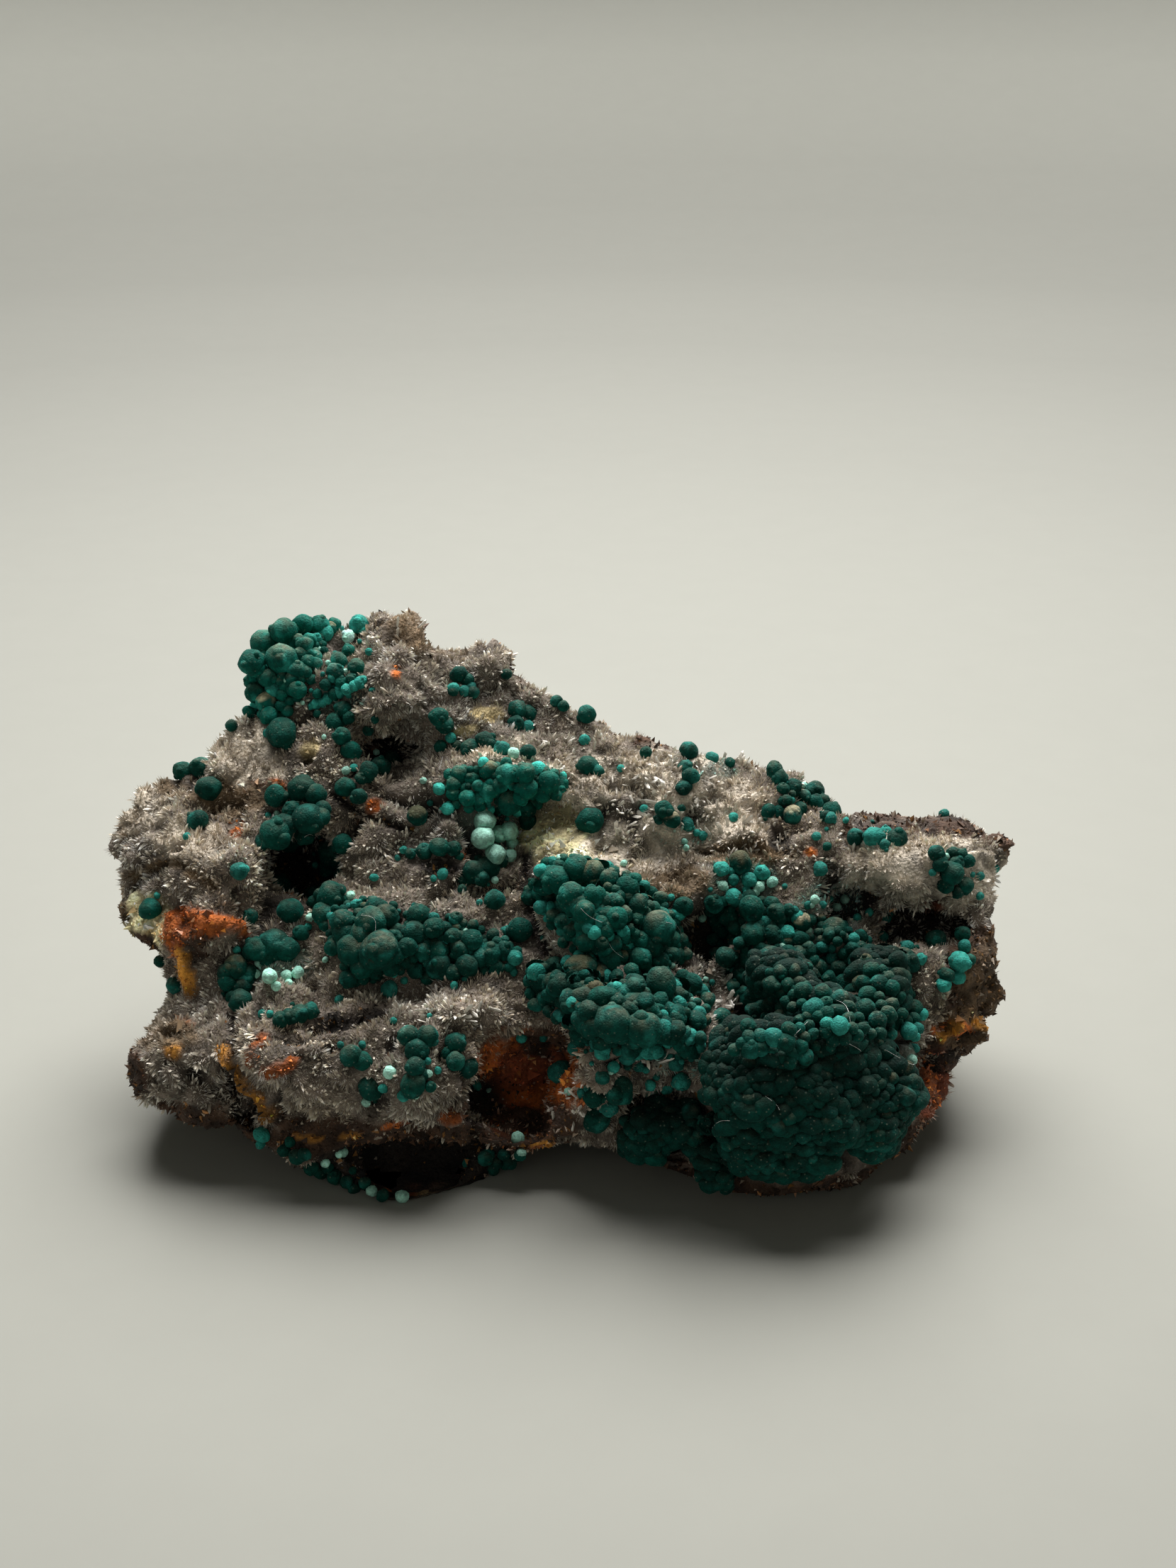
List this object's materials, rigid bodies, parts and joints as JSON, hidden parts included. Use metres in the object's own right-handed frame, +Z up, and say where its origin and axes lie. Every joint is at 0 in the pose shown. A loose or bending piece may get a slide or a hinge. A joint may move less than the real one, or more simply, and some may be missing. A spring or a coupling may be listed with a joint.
{
  "type": "hemimorphite specimen",
  "caption": "Natural mineral specimen: a lump of brown gossan coated with grey needle druse and dotted with dark green botryoidal balls and crusts, resting on its broken underside.",
  "frame": {"origin": "on the floor under the middle of the specimen's bounding box", "axes": "+Z up, +X to the right as the display face is seen from the front, +Y away from the viewer"},
  "size_m": [0.09, 0.0514, 0.0422],
  "materials": {
    "druse": "grey needle druse over brown iron-stained gossan",
    "green": "velvety botryoidal balls with dusty tops and turquoise edges",
    "mint": "pale mint, fine grained"
  },
  "bodies": {
    "root": {"apron_crust": "green", "band_east": "green", "band_end_ball": "green", "band_foot_ball": "green", "band_west": "green", "basin_ball": "green", "basin_lump": "green", "cave_ball": "green", "cave_beads": "green", "cave_knot": "green", "cave_side": "green", "centre_band": "green", "centre_knot": "green", "crest_ball": "green", "crest_beads": "green", "crest_crust": "green", "dome_ball": "green", "dome_foot": "green", "east_row": "green", "finger": "green", "hollow_ball": "green", "hump_foot": "green", "ledge_balls": "green", "lower_dome": "green", "matrix": "druse", "mint_ball": "mint", "prow_knot": "green", "prow_trio": "green", "ridge_ball": "green", "shelf_drop": "green", "shelf_pair": "green", "shelf_stack": "green", "shelf_trio": "green", "shoulder_ball": "green", "shoulder_trio": "green", "skyline_crust": "green", "slope_ball": "green", "slope_pair": "green", "turquoise_knot": "green", "upper_dome": "green", "west_ball": "green", "west_cluster": "green", "west_lump": "green"}
  },
  "joints": []
}
